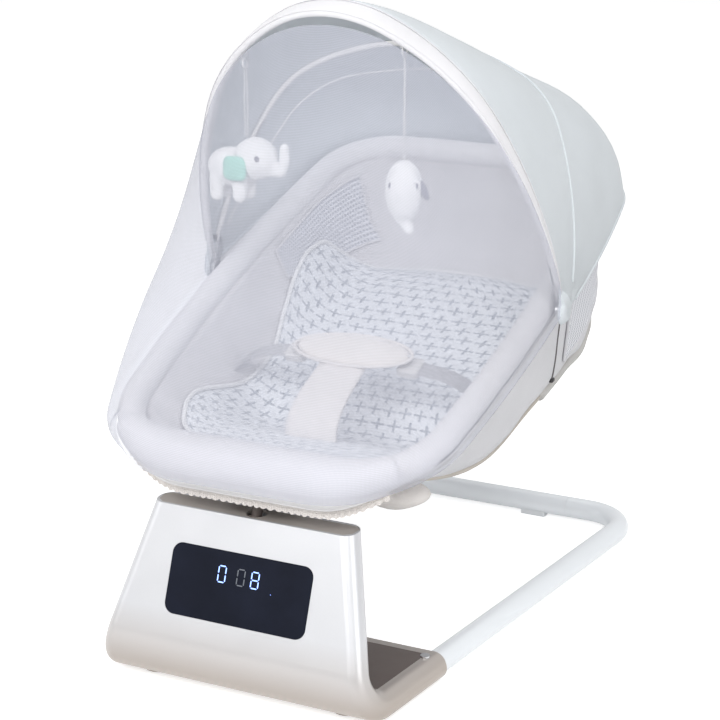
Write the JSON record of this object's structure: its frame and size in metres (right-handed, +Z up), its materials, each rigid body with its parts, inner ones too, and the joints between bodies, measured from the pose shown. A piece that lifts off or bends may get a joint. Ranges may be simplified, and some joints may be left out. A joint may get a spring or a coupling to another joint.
{
  "type": "baby swing",
  "caption": "Baby swing: a padded bucket seat with a folding canopy, net and hanging toys turns on a leaning shaft over a tower base with a display and floor tubes.",
  "frame": {"origin": "middle of the outline on the floor", "axes": "+Z up, +Y from the tower back to the crossbar, +X to the right of someone facing the display"},
  "size_m": [0.4954, 0.7344, 0.7397],
  "materials": {
    "pearl_plastic": "pearl satin",
    "taupe_plastic": "satin",
    "lens_plastic": "smoked gloss",
    "circuit_board": "solder mask",
    "black_plastic": "moulded",
    "copper_wire": "enamelled",
    "bare_steel": "bright",
    "tube_paint": "satin",
    "frame_paint": "satin",
    "pad_rubber": "moulded",
    "canopy_cloth": "smooth weave",
    "bucket_cloth": "woven",
    "mesh_cloth": "open mesh",
    "liner_cloth": "printed weave",
    "cream_cloth": "padded",
    "grey_webbing": "webbing",
    "buckle_plastic": "moulded",
    "net_cloth": "fine net",
    "lace_cloth": "gathered lace",
    "toy_plush": "short plush",
    "toy_mint": "short plush",
    "toy_grey": "felt",
    "cord_cloth": "ribbon"
  },
  "bodies": {
    "base": {"tower_shell": "pearl_plastic", "tower_inner_cover": "taupe_plastic", "tower_top_cap": "taupe_plastic", "display_lens": "lens_plastic", "display_board": "circuit_board", "control_board": "circuit_board", "speaker": "black_plastic", "power_inlet": "black_plastic", "bearing_carriers": "black_plastic", "bearings": "bare_steel", "coil_bobbin": "black_plastic", "coil_winding": "copper_wire", "sensor_board": "circuit_board", "cover_screws": "bare_steel", "foot_screws": "bare_steel", "front_foot_pads": "pad_rubber", "rear_foot_pads": "pad_rubber", "base_tube_left": "tube_paint", "base_tube_right": "tube_paint", "rear_crossbar": "tube_paint", "tube_joiners": "black_plastic"},
    "seat": {"swing_shaft": "bare_steel", "shaft_collar": "bare_steel", "shaft_clip": "bare_steel", "magnet_lever": "black_plastic", "drive_magnet": "bare_steel", "swing_head": "frame_paint", "head_bolt": "bare_steel", "frame_bolts": "bare_steel", "seat_frame": "frame_paint", "rim_roll": "canopy_cloth", "foot_bolster": "canopy_cloth", "seat_bucket": "bucket_cloth", "mesh_windows": "mesh_cloth", "seat_liner": "liner_cloth", "crotch_strap": "cream_cloth", "belly_pad": "cream_cloth", "waist_straps": "grey_webbing", "harness_buckles": "buckle_plastic", "pivot_pins": "buckle_plastic", "canopy_rear_panel": "canopy_cloth", "insect_net": "net_cloth", "net_hem": "lace_cloth"},
    "canopy_front": {"front_hoop": "bare_steel", "canopy_edge_band": "canopy_cloth", "canopy_front_panel": "canopy_cloth", "toy_staples": "bare_steel"},
    "canopy_mid": {"mid_hoop": "bare_steel"},
    "toy_left_loop": {"toy_loop_left": "cord_cloth"},
    "toy_left": {"toy_cord_left": "cord_cloth", "elephant_torso": "toy_plush", "elephant_head": "toy_plush", "elephant_trunk": "toy_plush", "elephant_ears": "toy_mint", "elephant_legs": "toy_plush"},
    "toy_right_loop": {"toy_loop_right": "cord_cloth"},
    "toy_right": {"toy_cord_right": "cord_cloth", "whale_body": "toy_plush", "whale_tail": "toy_plush", "whale_fin": "toy_grey"}
  },
  "joints": [
    {"name": "seat_swing", "type": "hinge", "parent": "base", "child": "seat", "pos_m": [0, -0.29563, 0.202], "axis": [0, 0.3567, 0.9342], "range_deg": [-10, 10]},
    {"name": "canopy_fold", "type": "hinge", "parent": "seat", "child": "canopy_front", "pos_m": [0, 0.02071, 0.38], "axis": [-1, 0, 0], "range_deg": [0, 45], "deforming": ["canopy_front_panel", "canopy_rear_panel", "insect_net"]},
    {"name": "canopy_mid_fold", "type": "hinge", "parent": "seat", "child": "canopy_mid", "pos_m": [0, 0.02071, 0.38], "axis": [-1, 0, 0], "range_deg": [0, 31.5]},
    {"name": "toy_left_hang", "type": "hinge", "parent": "canopy_front", "child": "toy_left_loop", "pos_m": [-0.121, -0.08755, 0.66203], "axis": [-1, 0, 0], "range_deg": [-45, 0]},
    {"name": "toy_left_sway", "type": "hinge", "parent": "toy_left_loop", "child": "toy_left", "pos_m": [-0.121, -0.08755, 0.65275], "axis": [0, 1, 0], "range_deg": [-15, 15]},
    {"name": "toy_right_hang", "type": "hinge", "parent": "canopy_front", "child": "toy_right_loop", "pos_m": [0.084, -0.09817, 0.68968], "axis": [-1, 0, 0], "range_deg": [-45, 0]},
    {"name": "toy_right_sway", "type": "hinge", "parent": "toy_right_loop", "child": "toy_right", "pos_m": [0.084, -0.09817, 0.6804], "axis": [0, 1, 0], "range_deg": [-15, 15]}
  ],
  "couplings": [
    {"joint": "canopy_mid_fold", "follows": "canopy_fold", "ratio": 0.7},
    {"joint": "toy_left_hang", "follows": "canopy_fold", "ratio": -1},
    {"joint": "toy_right_hang", "follows": "canopy_fold", "ratio": -1}
  ]
}
